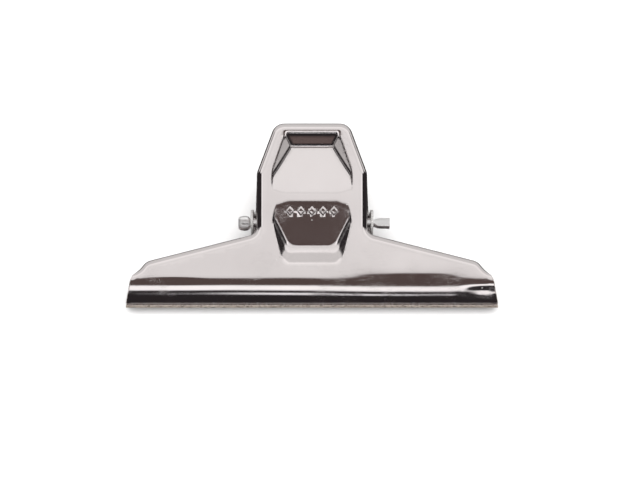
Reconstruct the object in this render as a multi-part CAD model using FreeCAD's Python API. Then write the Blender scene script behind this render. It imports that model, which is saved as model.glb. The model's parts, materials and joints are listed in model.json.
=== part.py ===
import FreeCAD, Part
import math
import os

# A wide letter clip of pressed, nickel-plated sheet steel. Two jaw plates turn on one wire pin, and a
# double torsion spring round the pin keeps their jaws shut.
#
# Each jaw plate is first drawn in a frame of its own: X runs along the jaw, Y from the pin towards the
# tip of the handle, and Z inwards from the plate's flat outer face. The clip then lies on its rear
# plate, whose flat outer face is on Z = 0, with the jaws towards -Y and the handles towards +Y.

Vector = FreeCAD.Vector

# Jaw plates
JAW_WIDTH = 125.0
SHEET = 0.9
PIN_DEPTH = 9.0          # from the flat outer face in to the pin's centre line
HANDLE_TOP = 33.1        # from the pin to the handle's top edge
TOP_HALF = 12.4          # half width of the top edge, to its sharp corner
TOP_RADIUS = 4.4
SIDE_SLOPE = 0.367       # how fast the handle widens below its top
SIDE_HALF = 18.6         # half width of the handle's straight sides
SIDE_RADIUS = 5.0
JOG_TOP = 9.9            # the rear plate widens between these two levels, down to its ears
JOG_FOOT = 7.9
JOG_RADIUS = 3.0
SHOULDER_LEVEL = -4.5    # where the straight side would meet the wing's upper edge
SHOULDER_RADIUS = 3.2
WING_CORNER = (55.76, -14.0)
WING_RADIUS = 4.5
WING_END_SLOPE = 1.3     # fall over run of the wing's short steep end
RIM_RADIUS = 2.4         # outer radius of the turned-down edge
RIM_DEPTH = 2.9

# Rolled jaw
ROLL_LEVEL = -19.0       # where the flat sheet starts to roll inwards
ROLL_RADIUS = 16.4
ROLL_TURN = 34.0
ROLL_STEP = 1.9          # length of the wing's steep end that lies in the roll
REAR_LIP_EXTRA = 1.5     # how much further the rear lip reaches
LIP_GAP = 0.08

# Ears and pin
EAR_RADIUS = 4.6
FRONT_EAR_TOP = 14.0
REAR_EAR_TOP = 6.8
EAR_FOOT = -2.2
EAR_GAP = 0.68           # side play between a front ear's root and the rear ear outside it
EAR_SPLAY = 3.0          # how far each ear leans outwards
PIN_RADIUS = 1.25
PIN_PLAY = 0.06
HEAD_GAP = 0.55
HEAD_LENGTH = 4.1
HEAD_WIDTHS = (2.5, 4.3, 5.0, 3.8)
HEAD_THICKNESSES = (2.5, 2.9, 2.9, 2.3)
HEAD_STATIONS = (0.0, 0.2, 0.5, 1.0)
HEAD_SLIT = 0.35         # depth and width of the slit in the coined head
HEAD_TILT = -50.0
PADDLE_GAP = 0.85
PADDLE_LENGTH = 5.2
PADDLE_WIDTHS = (2.3, 3.7, 4.0)
PADDLE_THICKNESSES = (2.3, 1.8, 1.6)
PADDLE_STATIONS = (0.0, 0.3, 1.0)
PADDLE_TILT = 78.0

# Pressed hollows: the right half of each one's outline on the flat face, from its ramp's foot round
# to its end wall. Each slope belongs to the edge that starts at its point.
GRIP_HALF_OUTLINE = ((13.6, 9.3), (13.6, 16.6), (9.1, 30.2))
GRIP_SLOPES = (66.0, 41.0, 36.0)
GRIP_RAMP = 11.4
PANEL_HALF_OUTLINE = ((12.3, 6.0), (13.7, 0.2), (9.9, -14.9))
PANEL_SLOPES = (66.0, 42.0, 31.2)
PANEL_RAMP = 10.8
PIP_COUNT = 5
PIP_PITCH = 3.7
PIP_HALF_WIDTH = 1.3
PIP_HALF_HEIGHT = 1.5
PIP_LEVEL = 2.9
PIP_RISE = 0.3

# Torsion spring
WIRE_RADIUS = 0.9
COIL_RADIUS = 3.45
COIL_WHOLE_TURNS = 4
COIL_PITCH = 1.86
COIL_OUTER = 15.9        # centre of the outermost turn
LEG_REACH = 13.5
FOOT_LENGTH = 2.4
BRIDGE_REACH = 13.0
SPRING_GAP = 0.08

BIG = 200.0

ROLL_SINE = math.sin(math.radians(ROLL_TURN))
REAR_SIDE_HALF = SIDE_HALF + EAR_GAP + SHEET


def corner_arc(before, corner, after, radius):
    """The arc of a rounded corner, with its first and last point."""
    back = (before - corner).normalize()
    ahead = (after - corner).normalize()
    half_angle = back.getAngle(ahead) / 2
    reach = radius / math.tan(half_angle)
    first = corner + back * reach
    last = corner + ahead * reach
    inwards = (back + ahead).normalize()
    middle = corner + inwards * (radius / math.sin(half_angle) - radius)
    return Part.Arc(first, middle, last), first, last


def rounded_face(points, radii):
    """A flat face whose corners are rounded where their radius isn't zero."""
    count = len(points)
    arcs = []
    starts = []
    ends = []
    for i in range(count):
        if radii[i] > 0:
            arc, first, last = corner_arc(points[i - 1], points[i], points[(i + 1) % count], radii[i])
        else:
            arc, first, last = None, points[i], points[i]
        arcs.append(arc)
        starts.append(first)
        ends.append(last)
    edges = []
    for i in range(count):
        if arcs[i] is not None:
            edges.append(arcs[i].toShape())
        edges.append(Part.LineSegment(ends[i], starts[(i + 1) % count]).toShape())
    return Part.Face(Part.Wire(edges))


def plate_outline(side_half):
    """The pressed plate's outline, taken a little way past the roll, as corners with their radii."""
    side_level = HANDLE_TOP - (SIDE_HALF - TOP_HALF) / SIDE_SLOPE
    wing_slope = (WING_CORNER[1] - SHOULDER_LEVEL) / (WING_CORNER[0] - SIDE_HALF)
    shoulder = SHOULDER_LEVEL + (side_half - SIDE_HALF) * wing_slope
    past_roll = ROLL_LEVEL - 4.0
    end_half = WING_CORNER[0] + (WING_CORNER[1] - past_roll) / WING_END_SLOPE
    jog = [(SIDE_HALF, JOG_TOP, JOG_RADIUS), (side_half, JOG_FOOT, JOG_RADIUS)]
    right = [
        (TOP_HALF, HANDLE_TOP, TOP_RADIUS),
        (SIDE_HALF, side_level, SIDE_RADIUS),
        *(jog if side_half > SIDE_HALF else []),
        (side_half, shoulder, SHOULDER_RADIUS),
        (WING_CORNER[0], WING_CORNER[1], WING_RADIUS),
        (end_half, past_roll, 0.0),
    ]
    left = [(-x, y, radius) for x, y, radius in reversed(right)]
    corners = right + left
    points = [Vector(x, y, 0) for x, y, radius in corners]
    return points, [radius for x, y, radius in corners]


def perimeter_edges(solid, level):
    """The edges of a prism that lie at one level."""
    return [e for e in solid.Edges if all(abs(v.Z - level) < 1e-6 for v in e.Vertexes)]


def tray(side_half):
    """The flat sheet with its turned-down rim, cut square where the roll starts."""
    outer_face = rounded_face(*plate_outline(side_half))
    outer = outer_face.extrude(Vector(0, 0, RIM_DEPTH))
    outer = outer.makeFillet(RIM_RADIUS, perimeter_edges(outer, 0.0))
    inner_face = Part.Face(outer_face.OuterWire.makeOffset2D(-SHEET))
    inner = inner_face.extrude(Vector(0, 0, RIM_DEPTH))
    inner.translate(Vector(0, 0, SHEET))
    inner = inner.makeFillet(RIM_RADIUS - SHEET, perimeter_edges(inner, SHEET))
    above_roll = Part.makeBox(BIG, BIG, BIG, Vector(-BIG / 2, ROLL_LEVEL, -BIG / 2))
    return outer.cut(inner).common(above_roll)


def arc_point(centre_level, radius, turn):
    """A point of the rolled sheet's section, turned in degrees from the flat part."""
    angle = math.radians(turn)
    return Vector(0, centre_level - radius * math.sin(angle), ROLL_RADIUS - radius * math.cos(angle))


def roll(extra):
    """The jaw's rolled edge, whose ends follow the wing and then run a little outwards."""
    level = ROLL_LEVEL - extra
    inner_radius = ROLL_RADIUS - SHEET
    outer_points = [arc_point(level, ROLL_RADIUS, ROLL_TURN * i / 2) for i in range(3)]
    inner_points = [arc_point(level, inner_radius, ROLL_TURN * i / 2) for i in range(3)]
    flat_start = Vector(0, ROLL_LEVEL, 0)
    section = [
        Part.Arc(*outer_points).toShape(),
        Part.LineSegment(outer_points[2], inner_points[2]).toShape(),
        Part.Arc(*inner_points).toShape(),
        Part.LineSegment(inner_points[0], outer_points[0]).toShape(),
    ]
    if extra > 0:
        inner_start = flat_start + Vector(0, 0, SHEET)
        section[3] = Part.LineSegment(inner_points[0], inner_start).toShape()
        section.append(Part.LineSegment(inner_start, flat_start).toShape())
        section.append(Part.LineSegment(flat_start, outer_points[0]).toShape())
    face = Part.Face(Part.Wire(Part.__sortEdges__(section)))
    face.translate(Vector(-JAW_WIDTH / 2, 0, 0))
    sheet = face.extrude(Vector(JAW_WIDTH, 0, 0))
    start_half = WING_CORNER[0] + (WING_CORNER[1] - ROLL_LEVEL) / WING_END_SLOPE
    step_half = start_half + ROLL_STEP / WING_END_SLOPE
    lip_level = outer_points[2].y
    half_plan = [
        (start_half, ROLL_LEVEL),
        (step_half, ROLL_LEVEL - ROLL_STEP),
        (JAW_WIDTH / 2, lip_level),
    ]
    plan = half_plan + [(-x, y) for x, y in reversed(half_plan)]
    corners = [Vector(x, y, -1.0) for x, y in plan]
    mask = Part.Face(Part.makePolygon(corners + corners[:1])).extrude(Vector(0, 0, BIG))
    return sheet.common(mask)


def tangent_point(outside, centre, radius, side):
    """Where a line from an outside point touches a circle in the YZ plane; side is +1 or -1."""
    away = outside - centre
    turn = side * math.degrees(math.acos(radius / away.Length))
    direction = FreeCAD.Rotation(Vector(1, 0, 0), turn).multVec(away.normalize())
    return centre + direction * radius


def ear(side_half, side, ear_top):
    """A flange that deepens towards the pin and ends in a round lug; side is +1 or -1."""
    centre = Vector(0, 0, PIN_DEPTH)
    top = Vector(0, ear_top, RIM_DEPTH)
    foot = Vector(0, EAR_FOOT, RIM_DEPTH)
    top_touch = tangent_point(top, centre, EAR_RADIUS, 1)
    foot_touch = tangent_point(foot, centre, EAR_RADIUS, -1)
    crown = centre + Vector(0, 0, EAR_RADIUS)
    top_root = Vector(0, ear_top, RIM_RADIUS)
    foot_root = Vector(0, EAR_FOOT, RIM_RADIUS)
    edges = [
        Part.LineSegment(top_root, top).toShape(),
        Part.LineSegment(top, top_touch).toShape(),
        Part.Arc(top_touch, crown, foot_touch).toShape(),
        Part.LineSegment(foot_touch, foot).toShape(),
        Part.LineSegment(foot, foot_root).toShape(),
        Part.LineSegment(foot_root, top_root).toShape(),
    ]
    face = Part.Face(Part.Wire(edges))
    face.translate(Vector(side * side_half, 0, 0))
    flange = face.extrude(Vector(-side * SHEET, 0, 0))
    flange.rotate(Vector(side * side_half, 0, RIM_DEPTH), Vector(0, 1, 0), side * EAR_SPLAY)
    return flange


def half_space(point, inwards, growth):
    """A large block on the inner side of a plane, which is moved outwards by growth."""
    block = Part.makeBox(BIG, BIG, BIG, Vector(-BIG / 2, -BIG / 2, 0))
    turn = FreeCAD.Rotation(Vector(0, 0, 1), inwards)
    block.Placement = FreeCAD.Placement(point - inwards * growth, turn)
    return block


def hollow(half_outline, slopes, ramp, growth, top):
    """A hip-roofed block under an outline on the flat face, grown outwards; its top is at one level."""
    points = list(half_outline) + [(-x, y) for x, y in reversed(half_outline)]
    edge_slopes = list(slopes) + list(reversed(slopes[:-1])) + [ramp]
    solid = Part.makeBox(BIG, BIG, BIG, Vector(-BIG / 2, -BIG / 2, top))
    centre = Vector(0, sum(y for x, y in points) / len(points), 0)
    for i, slope in enumerate(edge_slopes):
        start = Vector(points[i][0], points[i][1], 0)
        end = Vector(points[(i + 1) % len(points)][0], points[(i + 1) % len(points)][1], 0)
        along = (end - start).normalize()
        plan = along.cross(Vector(0, 0, 1))
        if plan.dot(centre - start) < 0:
            plan = plan * -1
        steep = math.radians(slope)
        inwards = plan * math.sin(steep) - Vector(0, 0, 1) * math.cos(steep)
        solid = solid.common(half_space(start, inwards, growth))
    return solid


def pips():
    """A row of small raised lozenges that stand on the sloping panel, out towards the flat face."""
    flush = PANEL_HALF_OUTLINE[0][1]
    lozenge = [(-PIP_HALF_WIDTH, 0), (0, -PIP_HALF_HEIGHT), (PIP_HALF_WIDTH, 0), (0, PIP_HALF_HEIGHT)]
    solids = []
    for i in range(PIP_COUNT):
        middle = (i - (PIP_COUNT - 1) / 2) * PIP_PITCH
        corners = [Vector(middle + x, PIP_LEVEL - flush + y, -PIP_RISE) for x, y in lozenge]
        pip = Part.Face(Part.makePolygon(corners + corners[:1])).extrude(Vector(0, 0, SHEET))
        pip.rotate(Vector(0, 0, 0), Vector(1, 0, 0), -PANEL_RAMP)
        pip.translate(Vector(0, flush, 0))
        solids.append(pip)
    return solids


def jaw_plate(side_half, extra, ear_top):
    """One pressed jaw plate in its own frame."""
    sheet = tray(side_half)
    for half_outline, slopes, ramp in (
        (GRIP_HALF_OUTLINE, GRIP_SLOPES, GRIP_RAMP),
        (PANEL_HALF_OUTLINE, PANEL_SLOPES, PANEL_RAMP),
    ):
        void = hollow(half_outline, slopes, ramp, 0.0, -1.0)
        back = hollow(half_outline, slopes, ramp, SHEET, SHEET / 2)
        sheet = sheet.fuse(back).cut(void)
    ears = [ear(side_half, side, ear_top) for side in (1, -1)]
    sheet = sheet.fuse([roll(extra)] + ears + pips())
    hole = Part.makeCylinder(PIN_RADIUS + PIN_PLAY, BIG, Vector(-BIG / 2, 0, PIN_DEPTH), Vector(1, 0, 0))
    return sheet.cut(hole).removeSplitter()


def closed_angle():
    """How far the front plate is turned from parallel when its lip's inner corner meets the rear lip."""
    inner_radius = ROLL_RADIUS - SHEET
    corner = arc_point(ROLL_LEVEL, inner_radius, ROLL_TURN) - Vector(0, 0, PIN_DEPTH)
    centre = Vector(0, ROLL_LEVEL - REAR_LIP_EXTRA, ROLL_RADIUS - PIN_DEPTH)
    reach = corner.Length
    inside = inner_radius - LIP_GAP
    cosine = (centre.Length**2 + reach**2 - inside**2) / (2 * centre.Length * reach)
    below_centre = math.acos(cosine) - math.atan2(centre.z, -centre.y)
    return math.degrees(math.atan2(-corner.z, -corner.y) + below_centre)


def loft(stations, widths, heights, start, length, roundness):
    """A smooth solid along X through rounded rectangles."""
    wires = []
    for station, width, height in zip(stations, widths, heights):
        radius = roundness * min(width, height)
        x = start + length * station
        corners = [
            Vector(x, sy * width / 2, sz * height / 2)
            for sy, sz in ((1, 1), (-1, 1), (-1, -1), (1, -1))
        ]
        wires.append(rounded_face(corners, [radius] * 4).OuterWire)
    return Part.makeLoft(wires, True, False)


def axle_pin():
    """The wire pin along X through the origin, coined at both ends."""
    ear_face = REAR_SIDE_HALF
    head_start = -(ear_face + HEAD_GAP)
    paddle_start = ear_face + PADDLE_GAP
    rod = Part.makeCylinder(
        PIN_RADIUS, paddle_start - head_start, Vector(head_start, 0, 0), Vector(1, 0, 0)
    )
    head = loft(HEAD_STATIONS, HEAD_THICKNESSES, HEAD_WIDTHS, head_start, -HEAD_LENGTH, 0.42)
    slit_length = HEAD_LENGTH * 0.7
    slit_floor = HEAD_THICKNESSES[1] / 2 - HEAD_SLIT
    slit_corner = Vector(head_start - slit_length, -slit_floor - 2 * HEAD_SLIT, -HEAD_SLIT / 2)
    slit = Part.makeBox(slit_length, 2 * HEAD_SLIT, HEAD_SLIT, slit_corner)
    head = head.cut(slit)
    head.rotate(Vector(0, 0, 0), Vector(1, 0, 0), HEAD_TILT)
    paddle = loft(
        PADDLE_STATIONS, PADDLE_THICKNESSES, PADDLE_WIDTHS, paddle_start, PADDLE_LENGTH, 0.3
    )
    paddle.rotate(Vector(0, 0, 0), Vector(1, 0, 0), PADDLE_TILT)
    return rod.fuse([head, paddle])


def tangent_angle(point, side):
    """The angle, from +Y towards +Z, where a line from a point touches the coil; side is +1 or -1."""
    spread = math.acos(COIL_RADIUS / point.Length)
    return math.degrees(math.atan2(point.z, point.y) + side * spread)


def on_coil(x, angle):
    """A point on the centre line of the coil's wire."""
    turn = math.radians(angle)
    return Vector(x, COIL_RADIUS * math.cos(turn), COIL_RADIUS * math.sin(turn))


def wire_run(points):
    """Straight runs of the spring's wire with a ball at each point."""
    solids = [Part.makeSphere(WIRE_RADIUS, points[0])]
    for start, end in zip(points, points[1:]):
        solids.append(Part.makeCylinder(WIRE_RADIUS, (end - start).Length, start, end - start))
        solids.append(Part.makeSphere(WIRE_RADIUS, end))
    return solids


def coil(side, start_angle, turns):
    """One coil round the pin, wound from its outermost turn inwards."""
    helix = Part.makeHelix(COIL_PITCH, turns * COIL_PITCH, COIL_RADIUS, 0, side > 0)
    ring = Part.Wire(Part.makeCircle(WIRE_RADIUS, Vector(COIL_RADIUS, 0, 0), Vector(0, 1, 0)).Edges)
    pipe = Part.Wire(helix.Edges).makePipeShell([ring], True, True)
    turn = FreeCAD.Rotation(Vector(0, 0, 1), Vector(-side, 0, 0))
    spin = FreeCAD.Rotation(Vector(1, 0, 0), start_angle - side * 90)
    pipe.Placement = FreeCAD.Placement(Vector(side * COIL_OUTER, 0, 0), spin * turn)
    return pipe


def torsion_spring(plates_angle):
    """The spring round the pin at the origin: two feet on the front plate, a bridge on the rear one."""
    to_face = PIN_DEPTH - SHEET - WIRE_RADIUS - SPRING_GAP
    tip_out = FreeCAD.Rotation(Vector(1, 0, 0), plates_angle)
    knee = tip_out.multVec(Vector(0, LEG_REACH, to_face))
    foot = tip_out.multVec(Vector(0, LEG_REACH + FOOT_LENGTH, to_face))
    ramp = math.radians(GRIP_RAMP)
    ramp_depth = (BRIDGE_REACH - GRIP_HALF_OUTLINE[0][1]) * math.tan(ramp)
    bridge_depth = ramp_depth + (SHEET + WIRE_RADIUS + SPRING_GAP) / math.cos(ramp)
    bridge = Vector(0, BRIDGE_REACH, bridge_depth - PIN_DEPTH)
    start_angle = tangent_angle(knee, 1)
    end_angle = tangent_angle(bridge, -1)
    turns = COIL_WHOLE_TURNS + (end_angle - start_angle) % 360 / 360
    inner = COIL_OUTER - turns * COIL_PITCH
    solids = []
    for side in (1, -1):
        outwards = Vector(side, 0, 0)
        solids.append(coil(side, start_angle, turns))
        leg_start = on_coil(side * COIL_OUTER, start_angle)
        solids += wire_run([leg_start, knee + outwards * COIL_OUTER, foot + outwards * COIL_OUTER])
        solids += wire_run([on_coil(side * inner, end_angle), bridge + outwards * inner])
    solids += wire_run([bridge - Vector(inner, 0, 0), bridge + Vector(inner, 0, 0)])
    return solids[0].fuse(solids[1:]).removeSplitter()


plates_angle = closed_angle()
rear_lip = ROLL_LEVEL - REAR_LIP_EXTRA - ROLL_RADIUS * ROLL_SINE
axle = Vector(0, -(HANDLE_TOP + rear_lip) / 2, PIN_DEPTH)

rear_plate = jaw_plate(REAR_SIDE_HALF, REAR_LIP_EXTRA, REAR_EAR_TOP)
rear_plate.translate(Vector(0, axle.y, 0))

front_plate = jaw_plate(SIDE_HALF, 0.0, FRONT_EAR_TOP)
front_plate.rotate(Vector(0, 0, 0), Vector(0, 1, 0), 180)
front_plate.translate(Vector(0, 0, PIN_DEPTH))
front_plate.rotate(Vector(0, 0, 0), Vector(1, 0, 0), plates_angle)
front_plate.translate(axle)

pin = axle_pin()
pin.translate(axle)

spring = torsion_spring(plates_angle)
spring.translate(axle)

os.makedirs("parts", exist_ok=True)
nodes = {
    "rear_jaw_plate": rear_plate,
    "front_jaw_plate": front_plate,
    "axle_pin": pin,
    "torsion_spring": spring,
}
for name, shape in nodes.items():
    shape.exportStep("parts/" + name + ".step")
print("plates angle", round(plates_angle, 3), "axle y", round(axle.y, 3), "z", axle.z)
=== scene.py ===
import json
import math

import bmesh
import bpy
import numpy as np
from mathutils import Matrix, Vector, geometry


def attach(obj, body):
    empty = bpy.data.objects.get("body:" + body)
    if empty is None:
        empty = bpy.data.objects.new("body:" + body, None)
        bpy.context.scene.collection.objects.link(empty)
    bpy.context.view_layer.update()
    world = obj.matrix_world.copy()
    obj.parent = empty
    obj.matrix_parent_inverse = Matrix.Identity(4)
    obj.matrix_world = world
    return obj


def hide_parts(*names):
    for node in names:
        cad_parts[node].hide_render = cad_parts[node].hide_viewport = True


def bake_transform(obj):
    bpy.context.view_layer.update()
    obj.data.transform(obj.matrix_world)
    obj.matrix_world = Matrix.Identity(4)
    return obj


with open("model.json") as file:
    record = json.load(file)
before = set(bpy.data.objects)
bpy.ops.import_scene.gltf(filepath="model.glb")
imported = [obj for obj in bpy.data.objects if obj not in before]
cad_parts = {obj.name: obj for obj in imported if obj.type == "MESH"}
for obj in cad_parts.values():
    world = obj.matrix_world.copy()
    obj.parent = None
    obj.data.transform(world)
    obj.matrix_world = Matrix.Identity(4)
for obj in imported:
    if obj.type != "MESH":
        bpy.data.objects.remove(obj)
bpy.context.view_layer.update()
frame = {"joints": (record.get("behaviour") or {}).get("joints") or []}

MM = 0.001

# ------------------------------------------------------------------------------------
# Plates: the CAD's driving sizes, in millimetres, in a plate's own frame. X runs along the jaw, Y
# from the pin towards the handle's tip, and Z inwards from the flat outer face. The sheet is laid
# out flat first, as x and v; v is the level, measured along the sheet where the jaw rolls inwards.
# ------------------------------------------------------------------------------------
SHEET = 0.9
PIN_DEPTH = 9.0                  # from the flat outer face in to the pin's centre line
HANDLE_TOP = 33.1
TOP_HALF = 12.4                  # half width of the handle's top edge, to its sharp corner
TOP_RADIUS = 4.4
SIDE_SLOPE = 0.367               # how fast the handle widens below its top
FRONT_HALF = 18.6                # half width of each handle's straight sides at its ears
REAR_HALF = 20.18
SIDE_RADIUS = 5.0
JOG_TOP = 9.9                    # the rear plate widens between these two levels, down to its ears
JOG_FOOT = 7.9
JOG_RADIUS = 3.0
SHOULDER_LEVEL = -4.5            # where the straight side would meet the wing's upper edge
SHOULDER_RADIUS = 3.2
WING_CORNER = (55.76, -14.0)
WING_RADIUS = 4.5
ROLL_START = (59.7, -19.2)
ROLL_STEP_END = (60.45, -21.0)
JAW_HALF = 62.5
RIM_RADIUS = 2.4
RIM_DEPTH = 2.9
FOLD_FADES = (-20.0, -15.8)      # levels between which the turned-down rim runs out into the roll
CORNER_FLARE = 1.21              # how much further the sharp lip corner's edge lies out than its point
FLAT_REACH = 0.7                 # how far the sheet's edge lies outside the outline where it isn't folded
FLAT_START = 1.0                 # how far inside the outline the edge's rings start there
ROLL_LEVEL = -19.0               # where the front plate's flat sheet starts to roll inwards
ROLL_RADIUS = 16.4
ROLL_TURN = math.radians(34.0)
REAR_LIP_EXTRA = 1.5             # how much further the rear plate's roll lies down the jaw
LIP_GAP = 0.08
EAR_RADIUS = 4.6
FRONT_EAR_TOP = 14.0
REAR_EAR_TOP = 6.8
EAR_SPLAY = math.radians(3.0)
EAR_STEPS = 30
HOLE_RADIUS = 1.31
HOLE_STEPS = 32
EDGE = 0.08                      # rounding of a sheared edge

# The two pressed hollows: the right half of each outline on the flat face, from its ramp's foot round
# to its end wall, with the slope in degrees of the edge that starts at each point, and the ramp's own.
GRIP_HALF_OUTLINE = ((13.6, 9.3), (13.6, 16.6), (9.1, 29.8))
GRIP_SLOPES = (66.0, 41.0, 36.0)
GRIP_RAMP = 11.4
PANEL_HALF_OUTLINE = ((12.3, 6.0), (13.7, 0.2), (9.9, -14.9))
PANEL_SLOPES = (66.0, 42.0, 31.2)
PANEL_RAMP = 10.8
RAMP_EASE = 0.22                 # how much shallower a ramp is at its foot's two corners
RAMP_EASE_FADES = (2.0, 16.0)    # distances from the foot between which that runs out

# Five plain raised lozenges in a row on the lower hollow's ramp
PIP_COUNT = 5
PIP_PITCH = 3.7
PIP_HALF_WIDTH = 1.3
PIP_HALF_HEIGHT = 1.5
PIP_LEVEL = 2.9
PIP_RISE = 0.3

# The front plate's small unevenness beside its roll. The plate lies turned over, so the clip's right
# end is its -X end.
BULGE_SLOPE = 0.105              # extra slope at the start of the roll, over the right half of the jaw
BULGE_RISES = (2.0, 22.0)        # distances along the jaw between which it sets in, and runs out
BULGE_FALLS = (42.0, 60.0)
BULGE_ABOVE = 3.0                # how far it reaches up the flat sheet, and down the roll
BULGE_BELOW = 2.5
SWAY_SLOPE = 0.012               # a fainter wave along the whole jaw
SWAY_LENGTH = 6.5
SWAY_PHASE = 0.6
SWAY_FALLS = (45.0, 60.0)
GROOVE_DEPTH = 0.05              # a shallow groove beside the roll, near the left end
GROOVE_LEVEL = -20.7
GROOVE_WIDTH = 0.7
GROOVE_RISES = (34.0, 46.0)
GROOVE_FALLS = (51.0, 58.0)
DENT_DEPTH = 0.28                # a dent in the roll at the right end
DENT_LEVEL = -24.0
DENT_ABOVE = 1.2
DENT_BELOW = 2.6
DENT_RISES = (48.0, 58.5)

# Mesh spacing
ARC_STEP = math.radians(7.0)
RIM_STEPS = 6
EDGE_RING = RIM_STEPS + 1        # the first of the four rings that make the sheared edge
LINE_STEP = 2.0
ROLL_SIDE_STEP = 0.8             # along the short ends of the roll
CORNER_CLEAR = 1.6               # no other outline point stands this near to the lip's sharp corner
FRONT_SPACING = 0.18             # between points where a hollow bends
REAR_SPACING = 0.24
FLAT_EVERY = 6                   # where a hollow is flat, only every so many of those rows are kept
FLAT_BEND = 0.03                 # sheet that bends less than this, in 1/mm, counts as flat
HOLLOW_HALF = 15.4               # the part of the sheet that holds both hollows
HOLLOW_LOW = -16.4
HOLLOW_HIGH = 31.6
ROLL_GRID = (1.2, 0.35)          # spacing along and down the jaw in the roll, and on the flat wings
WING_GRID = (2.4, 1.6)
ROLL_GRID_ABOVE = 3.2            # how far above the roll's start its closer spacing reaches

hinge = next(j for j in frame["joints"] if j["name"] == "jaw_hinge")
AXLE = Vector(hinge["pos_m"])


def smooth_step(low, high, value):
    """0 below low, 1 above high, and a smooth rise between them."""
    share = np.clip((value - low) / (high - low), 0, 1)
    return share * share * (3 - 2 * share)


def smooth_low(a, b, width):
    """The lower of two heights, with a rounded valley between them."""
    near = np.clip(1 - np.abs(a - b) / width, 0, None)
    return np.minimum(a, b) - near * near * width / 4


def smooth_high(a, b, width):
    """The higher of two heights, with a rounded ridge between them."""
    return -smooth_low(-a, -b, width)


def run(start, end, step):
    """Points from start up to, but without, end."""
    count = max(1, round((end - start).length / step))
    return [start.lerp(end, i / count) for i in range(count)]


def rounded_corner(before, corner, after, radius, step=ARC_STEP, fewest=2):
    """The arc of a rounded corner, as points, on the flat or in space."""
    if radius == 0:
        return [corner]
    back = (before - corner).normalized()
    ahead = (after - corner).normalized()
    half_angle = back.angle(ahead) / 2
    centre = corner + (back + ahead).normalized() * (radius / math.sin(half_angle))
    outwards = corner + back * (radius / math.tan(half_angle)) - centre
    onwards = back * -radius
    whole = math.pi - 2 * half_angle
    steps = max(fewest, math.ceil(whole / step))
    turns = [whole * i / steps for i in range(steps + 1)]
    return [centre + outwards * math.cos(turn) + onwards * math.sin(turn) for turn in turns]


def tangent_length(radius, turn):
    """How far from its corner an arc of that radius and turn starts."""
    return radius * math.tan(turn / 2)


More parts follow.
